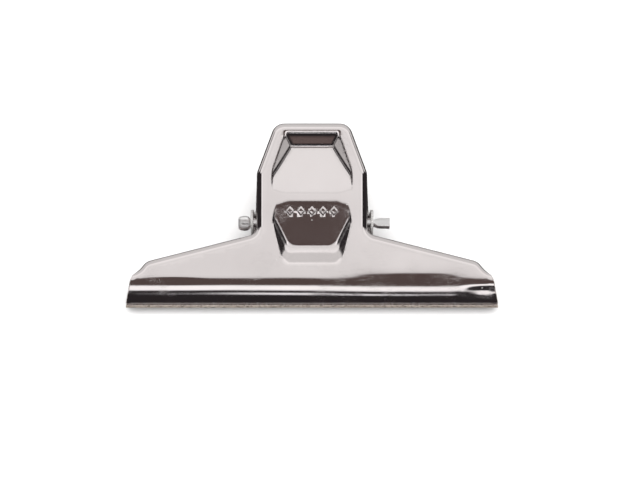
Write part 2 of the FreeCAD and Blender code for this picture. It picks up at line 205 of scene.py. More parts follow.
class PlateShape:
    """One plate's outline, laid out flat."""

    def __init__(self, half, extra, ear_top, lift):
        self.half = half
        self.lift = lift
        self.level = ROLL_LEVEL - extra
        self.lip = self.level - ROLL_RADIUS * ROLL_TURN
        side_level = HANDLE_TOP - (FRONT_HALF - TOP_HALF) / SIDE_SLOPE
        wing_slope = (WING_CORNER[1] - SHOULDER_LEVEL) / (WING_CORNER[0] - FRONT_HALF)
        shoulder = SHOULDER_LEVEL + (half - FRONT_HALF) * wing_slope
        shoulder_turn = math.pi / 2 + math.atan(wing_slope)
        self.ear_top = ear_top
        self.ear_foot = shoulder + tangent_length(SHOULDER_RADIUS, shoulder_turn) + 0.05
        jog = [(FRONT_HALF, JOG_TOP, JOG_RADIUS), (half, JOG_FOOT, JOG_RADIUS)]
        corners = [
            (0.0, HANDLE_TOP, 0.0),
            (TOP_HALF, HANDLE_TOP, TOP_RADIUS),
            (FRONT_HALF, side_level, SIDE_RADIUS),
            *(jog if half > FRONT_HALF else []),
            (half, self.ear_top, 0.0),
            (half, self.ear_foot, 0.0),
            (half, shoulder, SHOULDER_RADIUS),
            (WING_CORNER[0], WING_CORNER[1], WING_RADIUS),
            (ROLL_START[0], ROLL_START[1], 0.0),
            (ROLL_STEP_END[0], ROLL_STEP_END[1], 0.0),
            (JAW_HALF - FLAT_REACH * CORNER_FLARE, self.lip + FLAT_REACH, 0.0),
            (0.0, self.lip + FLAT_REACH, 0.0),
        ]
        places = [Vector(c[:2]) for c in corners]
        right = []
        for i in range(1, len(corners) - 1):
            arc = rounded_corner(places[i - 1], places[i], places[i + 1], corners[i][2])
            before = right[-1] if right else places[0]
            on_roll_end = before.y < WING_CORNER[1] and abs(before.x - arc[0].x) < 5
            step = ROLL_SIDE_STEP if on_roll_end else LINE_STEP
            right += run(before, arc[0], step)[1 if right else 0:]
            right += arc
        right += run(right[-1], places[-1], LINE_STEP)[1:]
        lip_corner = places[-2]
        right = [p for p in right if p == lip_corner or (p - lip_corner).length > CORNER_CLEAR]
        left = [Vector((-p.x, p.y)) for p in reversed(right[1:])]
        self.points = right + [places[-1]] + left
        self.ears = {1: self.ear_span(1), -1: self.ear_span(-1)}

    def ear_span(self, side):
        """The numbers of the outline's points along one ear's root, from its top to its foot."""
        ends = []
        for level in (self.ear_top, self.ear_foot):
            place = Vector((side * self.half, level))
            ends.append(min(range(len(self.points)), key=lambda i: (self.points[i] - place).length))
        step = 1 if ends[1] > ends[0] else -1
        return list(range(ends[0], ends[1] + step, step))

    def inwards(self):
        """At each outline point, the step into the sheet that moves both neighbouring edges by one."""
        count = len(self.points)
        found = []
        for i, p in enumerate(self.points):
            normals = []
            for a, b in ((self.points[i - 1], p), (p, self.points[(i + 1) % count])):
                along = (b - a).normalized()
                normals.append(Vector((along.y, -along.x)))
            found.append((normals[0] + normals[1]) / (1 + normals[0].dot(normals[1])))
        return found

    def bulge(self, x, v):
        """How far the sheet stands out beyond its even shape; only the front plate isn't even."""
        above = v - self.level
        reach = np.where(above > 0, BULGE_ABOVE, BULGE_BELOW)
        slope = BULGE_SLOPE * (smooth_step(*BULGE_RISES, -x) - smooth_step(*BULGE_FALLS, -x))
        sway = SWAY_SLOPE * np.sin(x / SWAY_LENGTH + SWAY_PHASE)
        slope = slope + sway * (1 - smooth_step(*SWAY_FALLS, np.abs(x)))
        lifted = slope * above * np.exp(-np.abs(above) / reach)
        groove = smooth_step(*GROOVE_RISES, x) * (1 - smooth_step(*GROOVE_FALLS, x))
        groove = groove * GROOVE_DEPTH * np.exp(-(((v - GROOVE_LEVEL) / GROOVE_WIDTH) ** 2))
        reach = np.where(v > DENT_LEVEL, DENT_ABOVE, DENT_BELOW)
        dent = smooth_step(*DENT_RISES, -x) * DENT_DEPTH * np.exp(-(((v - DENT_LEVEL) / reach) ** 2))
        return self.lift * (lifted - groove - dent)

    def folded(self, x, v, depth):
        """From the developed sheet to the plate's own frame; depth is inwards from the outer face."""
        depth = depth - self.bulge(x, v)
        angle = np.clip((self.level - v) / ROLL_RADIUS, 0, None)
        arm = ROLL_RADIUS - depth
        y = np.where(v >= self.level, v, self.level - arm * np.sin(angle))
        z = np.where(v >= self.level, depth, ROLL_RADIUS - arm * np.cos(angle))
        return np.stack([x, y, z], axis=-1)


def rim_profile():
    """Rings round the sheet's edge, outer face to inner face: (inwards, depth) folded down, and flat."""
    length = RIM_RADIUS * math.pi / 2 + RIM_DEPTH - RIM_RADIUS - EDGE
    reach = FLAT_START + FLAT_REACH - EDGE
    outer = []
    inner = []
    for i in range(RIM_STEPS + 1):
        turn = math.pi / 2 * i / RIM_STEPS
        flat = FLAT_START - reach * RIM_RADIUS * turn / length
        for rings, radius, depth in ((outer, RIM_RADIUS, 0.0), (inner, RIM_RADIUS - SHEET, SHEET)):
            folded = (RIM_RADIUS - radius * math.sin(turn), RIM_RADIUS - radius * math.cos(turn))
            rings.append((folded, (flat, depth)))
    edge = [
        ((0.0, RIM_DEPTH - EDGE), (EDGE - FLAT_REACH, 0.0)),
        ((EDGE, RIM_DEPTH), (-FLAT_REACH, EDGE)),
        ((SHEET - EDGE, RIM_DEPTH), (-FLAT_REACH, SHEET - EDGE)),
        ((SHEET, RIM_DEPTH - EDGE), (EDGE - FLAT_REACH, SHEET)),
    ]
    return outer + edge + inner[::-1]


def wall_depths(x, v, half_outline, slopes, ramp, corner_width, growth):
    """Depth under the walls of a hollow, and under its ramp, as if each plane ran on for ever.

    Growth is how far behind the outer face the surface lies: nothing, or the sheet's thickness."""
    points = list(half_outline) + [(-px, py) for px, py in reversed(half_outline)]
    edge_slopes = list(slopes) + list(reversed(slopes[:-1])) + [ramp]
    middle = sum(py for px, py in points) / len(points)
    depths = []
    for i, slope in enumerate(edge_slopes):
        start = Vector(points[i])
        along = (Vector(points[(i + 1) % len(points)]) - start).normalized()
        plan = Vector((-along.y, along.x))
        if plan.dot(Vector((0, middle)) - start) < 0:
            plan = -plan
        steep = math.radians(slope)
        reach = (x - start.x) * plan.x + (v - start.y) * plan.y
        depths.append(reach * math.tan(steep) + growth / math.cos(steep))
    walls = depths[0]
    for depth in depths[1:-1]:
        walls = smooth_low(walls, depth, corner_width)
    return walls, depths[-1]


# Each hollow's outline, slopes and ramp, and how widely these are rounded: the corners between its
# walls, the foot of the walls, and its lip at the side and at the end.
HOLLOWS = (
    (GRIP_HALF_OUTLINE, GRIP_SLOPES, GRIP_RAMP, 0.7, 0.9, 0.3, 1.0),
    (PANEL_HALF_OUTLINE, PANEL_SLOPES, PANEL_RAMP, 2.0, 1.7, 0.25, 0.8),
)


def pip_rise(x, v):
    """Height of the row of small raised lozenges on the sloping panel."""
    flush = PANEL_HALF_OUTLINE[0][1]
    level = flush + (PIP_LEVEL - flush) * math.cos(math.radians(PANEL_RAMP))
    rise = np.zeros_like(x)
    for i in range(PIP_COUNT):
        middle = (i - (PIP_COUNT - 1) / 2) * PIP_PITCH
        share = np.abs(x - middle) / PIP_HALF_WIDTH + np.abs(v - level) / PIP_HALF_HEIGHT
        rise += PIP_RISE * (1 - smooth_step(0.72, 1.08, share))
    return rise


def sheet_depths(x, v):
    """Depth of the sheet's outer and inner face, with its two pressed hollows."""
    outer = np.zeros_like(x)
    inner = np.full_like(x, SHEET)
    for half_outline, slopes, ramp_slope, corner_width, foot_width, side_lip, end_lip in HOLLOWS:
        walls, ramp = wall_depths(x, v, half_outline, slopes, ramp_slope, corner_width, 0.0)
        foot, knee, end = (level for half_width, level in half_outline)
        corner = smooth_step(0.62, 1.0, np.abs(x) / half_outline[0][0])
        ramp = ramp - RAMP_EASE * corner * (1 - smooth_step(*RAMP_EASE_FADES, np.abs(v - foot)))
        floor = smooth_low(walls, ramp, foot_width)
        outwards = math.copysign(1.0, knee - foot)
        lip = 0.2 + (side_lip - 0.2) * smooth_step(-0.6, 1.2, (v - knee) * outwards)
        lip = lip + (end_lip - side_lip) * smooth_step(-3.0, -1.0, (v - end) * outwards)
        outer = np.maximum(outer, smooth_high(floor, 0.0, lip))
        walls, ramp = wall_depths(x, v, half_outline, slopes, ramp_slope, corner_width, SHEET)
        floor = smooth_low(walls, ramp, foot_width)
        inner = np.maximum(inner, smooth_high(floor, SHEET, 0.3))
    rise = pip_rise(x, v)
    return outer - rise, inner - rise


def bending(heights, x, v, reach):
    """How sharply a face bends at each point, one over the radius in millimetres."""
    total = 0.0
    for dx, dv in ((reach, 0), (-reach, 0), (0, reach), (0, -reach)):
        total = total + heights(x + dx, v + dv)
    return (total - 4 * heights(x, v)) / reach**2


def inside_loop(x, v, loop, margin):
    """Which points lie inside a loop, and at least margin away from it."""
    inside = np.zeros(x.shape, bool)
    nearest = np.full(x.shape, np.inf)
    for i, end in enumerate(loop):
        start = loop[i - 1]
        dx, dv = end[0] - start[0], end[1] - start[1]
        share = np.clip(((x - start[0]) * dx + (v - start[1]) * dv) / (dx * dx + dv * dv), 0, 1)
        nearest = np.minimum(nearest, (x - start[0] - share * dx) ** 2 + (v - start[1] - share * dv) ** 2)
        if start[1] != end[1]:
            crosses = (start[1] > v) != (end[1] > v)
            at = start[0] + (v - start[1]) * dx / dv
            inside ^= crosses & (x < at)
    return inside & (nearest > margin**2)


def grid(x_half, v_low, v_high, x_step, v_step):
    """A lattice that is the same on both sides of the middle, as flat arrays."""
    columns = round(x_half / x_step)
    rows = round((v_high - v_low) / v_step)
    xs = np.linspace(-x_half, x_half, 2 * columns + 1)
    vs = np.linspace(v_low, v_high, rows + 1)
    x, v = np.meshgrid(xs, vs)
    return x.ravel(), v.ravel()


def sheet_points(shape, loop, fine):
    """Points inside the sheet: close together where a face bends, and far apart where it is flat."""
    xs, vs = grid(HOLLOW_HALF, HOLLOW_LOW, HOLLOW_HIGH, fine, fine)
    bend = np.maximum(
        np.abs(bending(lambda a, b: sheet_depths(a, b)[0], xs, vs, fine)),
        np.abs(bending(lambda a, b: sheet_depths(a, b)[1], xs, vs, fine)),
    )
    column = np.rint((xs + HOLLOW_HALF) / fine).astype(int)
    row = np.rint((vs - HOLLOW_LOW) / fine).astype(int)
    coarse = (column % FLAT_EVERY == 0) & (row % FLAT_EVERY == 0)
    keep = (bend > FLAT_BEND) | coarse
    parts = [(xs[keep], vs[keep])]
    roll_end = shape.level + ROLL_GRID_ABOVE
    for low, high, spacing in ((shape.lip, roll_end, ROLL_GRID), (roll_end + 0.8, 32.0, WING_GRID)):
        wide_x, wide_v = grid(62.4, low, high, *spacing)
        beside = (np.abs(wide_x) > HOLLOW_HALF + 0.8) | (wide_v < HOLLOW_LOW - 0.4) | (wide_v > HOLLOW_HIGH)
        parts.append((wide_x[beside], wide_v[beside]))
    xs = np.concatenate([p[0] for p in parts])
    vs = np.concatenate([p[1] for p in parts])
    keep = inside_loop(xs, vs, loop, 0.3)
    return xs[keep], vs[keep]


def triangles(points, loops):
    """Constrained triangles between loops of point numbers, as triples of point numbers."""
    edges = []
    for loop in loops:
        edges += [(loop[i - 1], loop[i]) for i in range(len(loop))]
    made = geometry.delaunay_2d_cdt([Vector(p) for p in points], edges, [], 1, 1e-7)
    back = [sources[0] if sources else None for sources in made[3]]
    return [tuple(back[i] for i in face) for face in made[2]]


def tangent_turn(place, side):
    """The direction, from the lug's centre, where a line from a place touches the lug."""
    away = place - Vector((0, PIN_DEPTH))
    return math.atan2(away.y, away.x) + side * math.acos(EAR_RADIUS / away.length)


def ear_paths(shape):
    """The ear's edge from its top root round the lug to its foot root: inset by the rounding, and full."""
    lug = Vector((0, PIN_DEPTH))
    top = Vector((shape.ear_top, RIM_DEPTH))
    foot = Vector((shape.ear_foot, RIM_DEPTH))
    first = tangent_turn(top, 1)
    last = tangent_turn(foot, -1)
    while last < first:
        last += 2 * math.pi
    paths = []
    for inset in (EDGE, 0.0):
        path = [top - Vector((0, inset))]
        for i in range(EAR_STEPS + 1):
            turn = first + (last - first) * i / EAR_STEPS
            path.append(lug + Vector((math.cos(turn), math.sin(turn))) * (EAR_RADIUS - inset))
        path.append(foot - Vector((0, inset)))
        paths.append(path)
    return paths


PLATED, CUT_EDGE, RIM_EDGE = range(3)       # a face's finish, as the number of its material


class Draft:
    """Points and faces of one mesh while it is being put together."""

    def __init__(self):
        self.points = []
        self.wear_and_crease_shade = []
        self.faces = []
        self.finish = []

    def add_points(self, places, wear_and_crease_shade):
        first = len(self.points)
        self.points += [tuple(p) for p in places]
        self.wear_and_crease_shade += list(wear_and_crease_shade)
        return list(range(first, len(self.points)))

    def add_face(self, corners, finish=PLATED):
        self.faces.append(corners)
        self.finish.append(finish)

    def strip(self, a, b, finish=PLATED, closed=False):
        """Quads between two rows of points."""
        for i in range(0 if closed else 1, len(a)):
            self.add_face((a[i - 1], a[i], b[i], b[i - 1]), finish)

    def make(self, name, placement, materials, sharp):
        mesh = bpy.data.meshes.new(name)
        mesh.from_pydata(self.points, [], self.faces)
        mesh.polygons.foreach_set("material_index", self.finish)
        # The wear attribute holds real wear on edges, ears and the paddle, and painted shade in the
        # hollows' sunken creases.
        mesh.attributes.new("wear_and_crease_shade", "FLOAT", "POINT").data.foreach_set("value", self.wear_and_crease_shade)
        bm = bmesh.new()
        bm.from_mesh(mesh)
        bmesh.ops.recalc_face_normals(bm, faces=bm.faces)
        bm.to_mesh(mesh)
        bm.free()
        mesh.transform(placement)
        if volume_of(mesh) < 0:
            mesh.flip_normals()
        mesh.polygons.foreach_set("use_smooth", [True] * len(mesh.polygons))
        mesh.set_sharp_from_angle(angle=math.radians(sharp))
        for material in materials:
            mesh.materials.append(material)
        piece = bpy.data.objects.new(name, mesh)
        bpy.context.scene.collection.objects.link(piece)
        weighted = piece.modifiers.new("normals", "WEIGHTED_NORMAL")
        weighted.keep_sharp = True
        return piece


def volume_of(mesh):
    """A closed mesh's volume, which is negative when its faces point inwards."""
    bm = bmesh.new()
    bm.from_mesh(mesh)
    volume = bm.calc_volume(signed=True)
    bm.free()
    return volume


def leaning(x, place):
    """A point of an ear, which leans outwards from the rim's edge on."""
    return (x + math.copysign((place.y - RIM_DEPTH) * math.tan(EAR_SPLAY), x), place.x, place.y)


def add_ear(draft, shape, rings, side):
    """One ear: two flat faces with the pin's hole, and the sheared edge between them."""
    span = shape.ears[side]
    inset, full = ear_paths(shape)
    lug = Vector((0, PIN_DEPTH))
    hole_turns = [2 * math.pi * i / HOLE_STEPS for i in range(HOLE_STEPS)]
    hole = [lug + Vector((math.cos(t), math.sin(t))) * HOLE_RADIUS for t in hole_turns]
    columns = [[rings[EDGE_RING + k][span[0]]] for k in range(4)]
    for k, (depth, path) in enumerate(((0, inset), (EDGE, full), (SHEET - EDGE, full), (SHEET, inset))):
        places = [leaning(side * (shape.half - depth), p) for p in path[1:-1]]
        columns[k] += draft.add_points(places, [0.6] * len(places))
        columns[k].append(rings[EDGE_RING + k][span[-1]])
    for k in range(3):
        draft.strip(columns[k], columns[k + 1], RIM_EDGE)
    hole_rings = []
    for depth, k in ((0, 0), (SHEET, 3)):
        ring = draft.add_points([leaning(side * (shape.half - depth), p) for p in hole], [0.4] * len(hole))
        hole_rings.append(ring)
        root = [rings[EDGE_RING + k][i] for i in span]
        outline = columns[k] + root[-2:0:-1]
        numbers = outline + ring
        flat = [draft.points[i][1:] for i in numbers]
        loops = [list(range(len(outline))), list(range(len(outline), len(numbers)))]
        for face in triangles(flat, loops):
            middle = sum((Vector(flat[i]) for i in face), Vector((0, 0))) / 3
            if (middle - lug).length > HOLE_RADIUS:
                draft.add_face(tuple(numbers[i] for i in face))
    draft.strip(hole_rings[0], hole_rings[1], RIM_EDGE, closed=True)


def jaw_plate(name, shape, fine, placement, materials):
    """One pressed plate as a closed mesh: rim, two faces with their hollows, roll and ears."""
    draft = Draft()
    base = np.array([p[:] for p in shape.points])
    inwards = np.array([p[:] for p in shape.inwards()])
    fold = smooth_step(FOLD_FADES[0], FOLD_FADES[1], base[:, 1])
    profile = rim_profile()
    rings = []
    for k, (folded, flat) in enumerate(profile):
        reach = fold * folded[0] + (1 - fold) * flat[0]
        depth = fold * folded[1] + (1 - fold) * flat[1]
        plan = base + inwards * reach[:, None]
        worn_and_crease_shaded = 1.0 if EDGE_RING - 1 <= k <= EDGE_RING + 3 else 0.0
        outer, inner = sheet_depths(plan[:, 0], plan[:, 1])
        depth = depth + (outer if k <= EDGE_RING + 1 else inner - SHEET)
        places = shape.folded(plan[:, 0], plan[:, 1], depth)
        rings.append(draft.add_points(places, [worn_and_crease_shaded] * len(places)))
        if k == 0:
            loop = plan
    count = len(base)
    ear_segments = set()
    for span in shape.ears.values():
        ear_segments |= {max(a, b) for a, b in zip(span, span[1:])}
    for k in range(len(rings) - 1):
        at_edge = EDGE_RING <= k < EDGE_RING + 3
        for i in range(count):
            if at_edge and i in ear_segments:
                continue
            a, b = rings[k], rings[k + 1]
            cut = RIM_EDGE if fold[i] > 0.5 else CUT_EDGE
            draft.add_face((a[i - 1], a[i], b[i], b[i - 1]), cut if at_edge else PLATED)
    xs, vs = sheet_points(shape, loop, fine)
    outer, inner = sheet_depths(xs, vs)
    flat_points = [tuple(p) for p in loop] + list(zip(xs, vs))
    faces = triangles(flat_points, [list(range(count))])
    # The outer face's wear attribute follows how sharply it bends either way: real wear on the hollows'
    # raised edges, and painted shade in their sunken creases.
    bend = np.abs(bending(lambda a, b: sheet_depths(a, b)[0], xs, vs, fine))
    rubbed_and_crease_shaded = np.clip(bend, 0, 1)
    unworn = np.zeros_like(xs)
    for ring, depth, worn_and_crease_shaded in ((rings[0], outer, rubbed_and_crease_shaded), (rings[-1], inner, unworn)):
        numbers = ring + draft.add_points(shape.folded(xs, vs, depth), worn_and_crease_shaded)
        for face in faces:
            draft.add_face(tuple(numbers[i] for i in face))
    for side in (1, -1):
        add_ear(draft, shape, rings, side)
    return draft.make(name, placement, materials, 50.0)


def closed_angle():
    """How far the front plate is turned from parallel when its lip's inner corner meets the rear lip."""
    inner_radius = ROLL_RADIUS - SHEET
    to_corner = Vector((-math.sin(ROLL_TURN), -math.cos(ROLL_TURN))) * inner_radius
    corner = Vector((ROLL_LEVEL, ROLL_RADIUS - PIN_DEPTH)) + to_corner
    centre = Vector((ROLL_LEVEL - REAR_LIP_EXTRA, ROLL_RADIUS - PIN_DEPTH))
    reach = corner.length
    inside = inner_radius - LIP_GAP
    cosine = (centre.length**2 + reach**2 - inside**2) / (2 * centre.length * reach)
    below_centre = math.acos(cosine) - math.atan2(centre.y, -centre.x)
    return math.atan2(-corner.y, -corner.x) + below_centre


PLATES_ANGLE = closed_angle()
to_metres = Matrix.Scale(MM, 4)
rear_place = Matrix.Translation((0, AXLE.y, AXLE.z - PIN_DEPTH * MM)) @ to_metres
front_place = (
    Matrix.Translation(AXLE)
    @ Matrix.Rotation(PLATES_ANGLE, 4, "X")
    @ to_metres
    @ Matrix.Translation((0, 0, PIN_DEPTH))
    @ Matrix.Rotation(math.pi, 4, "Y")
)


# ------------------------------------------------------------------------------------
# Pin and spring, in millimetres about the pin's centre line
# ------------------------------------------------------------------------------------
PIN_RADIUS = 1.25
HEAD_GAP = 0.55                  # from a rear ear's root out to the coined head, and to the paddle
PADDLE_GAP = 0.85
HEAD_START = -(REAR_HALF + HEAD_GAP)
HEAD_LENGTH = 4.1
HEAD_TILT = math.radians(-50.0)
PADDLE_START = REAR_HALF + PADDLE_GAP
PADDLE_LENGTH = 5.2
PADDLE_TILT = math.radians(78.0)
SLIT_HALF = 0.24
SLIT_DEPTH = 0.8
SLIT_STARTS = (0.04, 0.14)       # shares of the head's length, from the ear, between which the slit
SLIT_ENDS = (0.58, 0.7)          # deepens, and between which it runs out
SLIT_TURNS = (0.03, 0.06, 0.13, 0.16)    # extra ring points at these angles either side of the slit
PIN_SIDES = 72
WIRE_SIDES = 18
WIRE_RADIUS = 0.9
COIL_RADIUS = 3.45
COIL_WHOLE_TURNS = 4
COIL_PITCH = 1.86
COIL_OUTER = 15.9                # from the middle of the pin to the coil's outer end
LEG_REACH = 13.5                 # how far up the front handle the leg bends outwards into its foot
FOOT_LENGTH = 2.4
BRIDGE_REACH = 13.0              # how far up the rear handle the bridge between the coils lies
SPRING_GAP = 0.08
WIRE_BEND = 1.8                  # radius of the wire's bends outside the coils
WIRE_STEP = math.radians(12.0)

# Pin sections from the head's tip to the paddle's tip: place along X, half sizes along Y and Z,
# squareness (2 is round) and the turn about the pin.
PIN_SECTIONS = (
    (HEAD_START - HEAD_LENGTH, 0.8, 1.55, 3.0, HEAD_TILT),
    (HEAD_START - 0.96 * HEAD_LENGTH, 1.1, 1.92, 3.0, HEAD_TILT),
    (HEAD_START - 0.8 * HEAD_LENGTH, 1.36, 2.3, 3.0, HEAD_TILT),
    (HEAD_START - 0.5 * HEAD_LENGTH, 1.46, 2.5, 3.0, HEAD_TILT),
    (HEAD_START - 0.22 * HEAD_LENGTH, 1.46, 2.36, 2.8, HEAD_TILT),
    (HEAD_START - 0.08 * HEAD_LENGTH, 1.4, 1.85, 2.5, HEAD_TILT),
    (HEAD_START, PIN_RADIUS, 1.3, 2.2, HEAD_TILT),
    (HEAD_START + 0.3, PIN_RADIUS, PIN_RADIUS, 2.0, HEAD_TILT),
    (PADDLE_START - 0.4, PIN_RADIUS, PIN_RADIUS, 2.0, PADDLE_TILT),
    (PADDLE_START, 1.17, 1.2, 2.2, PADDLE_TILT),
    (PADDLE_START + 0.1 * PADDLE_LENGTH, 0.96, 1.5, 3.6, PADDLE_TILT),
    (PADDLE_START + 0.2 * PADDLE_LENGTH, 0.82, 1.8, 6.5, PADDLE_TILT),
    (PADDLE_START + 0.6 * PADDLE_LENGTH, 0.8, 1.92, 8.0, PADDLE_TILT),
    (PADDLE_START + 0.97 * PADDLE_LENGTH, 0.8, 2.0, 8.0, PADDLE_TILT),
    (PADDLE_START + PADDLE_LENGTH, 0.7, 1.88, 7.0, PADDLE_TILT),
)


def pin_section(turns, place, half_y, half_z, squareness, tilt, slit):
    """One ring of the pin's surface, a rounded rectangle by its squareness."""
    cosine, sine = np.cos(turns - tilt), np.sin(turns - tilt)
    size = (np.abs(cosine) ** squareness + np.abs(sine) ** squareness) ** (-1 / squareness)
    y, z = half_y * cosine * size, half_z * sine * size
    y = y + slit * (cosine < 0) * np.clip(1 - (z / SLIT_HALF) ** 2, 0, 1)
    turned_y = y * math.cos(tilt) - z * math.sin(tilt)
    turned_z = y * math.sin(tilt) + z * math.cos(tilt)
    return np.stack([np.full_like(y, place), turned_y, turned_z], axis=-1)


def axle_pin(materials):
    """The wire pin with a slit coined head on the left and a flat paddle on the right."""
    even = np.linspace(0, 2 * math.pi, PIN_SIDES, endpoint=False)
    aside = np.array(SLIT_TURNS)
    slit_turn = math.pi + HEAD_TILT
    turns = np.sort(np.concatenate([even, slit_turn - aside, slit_turn + aside]))
    rows = []
    sections = np.array(PIN_SECTIONS)
    for a, b in zip(sections, sections[1:]):
        steps = 5 if abs(b[0] - a[0]) < 3 else 1
        for i in range(steps):
            rows.append(a + (b - a) * i / steps)
    rows.append(sections[-1])
    draft = Draft()
    rings = []
    for row in rows:
        place, half_y, half_z, squareness, tilt = row
        along = (HEAD_START - place) / HEAD_LENGTH
        slit = SLIT_DEPTH * smooth_step(*SLIT_STARTS, along) * (1 - smooth_step(*SLIT_ENDS, along))
        places = pin_section(turns, place, half_y, half_z, squareness, tilt, float(slit))
        at_edge = (np.abs(np.sin(2 * (turns - tilt))) > 0.7) * (squareness > 3)
        rings.append(draft.add_points(places, at_edge * 0.8))
    for a, b in zip(rings, rings[1:]):
        draft.strip(a, b, closed=True)
    draft.add_face(tuple(rings[0]), CUT_EDGE)
    draft.add_face(tuple(rings[-1]), CUT_EDGE)
    return draft.make("pin_with_coined_ends", Matrix.Translation(AXLE) @ to_metres, materials, 45.0)


def tangent_angle(point, side):
    """The angle, from +Y towards +Z, where a line from a point touches the coil."""
    reach = math.hypot(point.y, point.z)
    return math.atan2(point.z, point.y) + side * math.acos(COIL_RADIUS / reach)


def spring_path():
    """The wire's centre line on the right: from the foot on the front plate to the bridge's middle."""
    to_face = PIN_DEPTH - SHEET - WIRE_RADIUS - SPRING_GAP
    tip_out = Matrix.Rotation(PLATES_ANGLE, 3, "X")
    outer = Vector((COIL_OUTER, 0, 0))
    knee = tip_out @ Vector((0, LEG_REACH, to_face)) + outer
    foot = tip_out @ Vector((0, LEG_REACH + FOOT_LENGTH, to_face)) + outer
    ramp = math.radians(GRIP_RAMP)
    depth = (BRIDGE_REACH - GRIP_HALF_OUTLINE[0][1]) * math.tan(ramp)
    depth += (SHEET + WIRE_RADIUS + SPRING_GAP) / math.cos(ramp)
    bridge = Vector((0, BRIDGE_REACH, depth - PIN_DEPTH))
    start = tangent_angle(knee, 1)
    end = tangent_angle(bridge, -1)
    turn = COIL_WHOLE_TURNS * 2 * math.pi + (end - start) % (2 * math.pi)
    inner = COIL_OUTER - turn / (2 * math.pi) * COIL_PITCH
    steps = math.ceil(turn / math.radians(10))
    coil = []
    for i in range(steps + 1):
        angle = start + turn * i / steps
        x = COIL_OUTER + (inner - COIL_OUTER) * i / steps
        coil.append(Vector((x, COIL_RADIUS * math.cos(angle), COIL_RADIUS * math.sin(angle))))
    corner = bridge + Vector((inner, 0, 0))
    leg = rounded_corner(foot, knee, coil[0], WIRE_BEND, WIRE_STEP, 3)
    arm = rounded_corner(coil[-1], corner, bridge, WIRE_BEND, WIRE_STEP, 3)
    return [foot] + leg + coil + arm + [bridge]


def half_spring(name, side, materials):
    """One coil with its leg and half of the bridge, as a closed tube."""
    path = [Vector((side * p.x, p.y, p.z)) for p in spring_path()]
    draft = Draft()
    rings = []
    along = (path[1] - path[0]).normalized()
    across = along.orthogonal().normalized()
    for i, place in enumerate(path):
        before = path[max(i - 1, 0)]
        after = path[min(i + 1, len(path) - 1)]
        now = (after - before).normalized()
        across = (along.rotation_difference(now) @ across).normalized()
        along = now
        up = along.cross(across)
        ends = ((0.0, 0.86), (0.12, 1.0)) if i == 0 else ((0.0, 1.0),)
        for shift, scale in ends:
            ring = []
            for k in range(WIRE_SIDES):
                turn = 2 * math.pi * k / WIRE_SIDES
                outwards = across * math.cos(turn) + up * math.sin(turn)
                ring.append(place + along * shift + outwards * WIRE_RADIUS * scale)
            rings.append(draft.add_points(ring, [0.0] * WIRE_SIDES))
    for a, b in zip(rings, rings[1:]):
        draft.strip(a, b, closed=True)
    draft.add_face(tuple(rings[0]), CUT_EDGE)
    draft.add_face(tuple(rings[-1]), CUT_EDGE)
    return draft.make(name, Matrix.Translation(AXLE) @ to_metres, materials, 60.0)


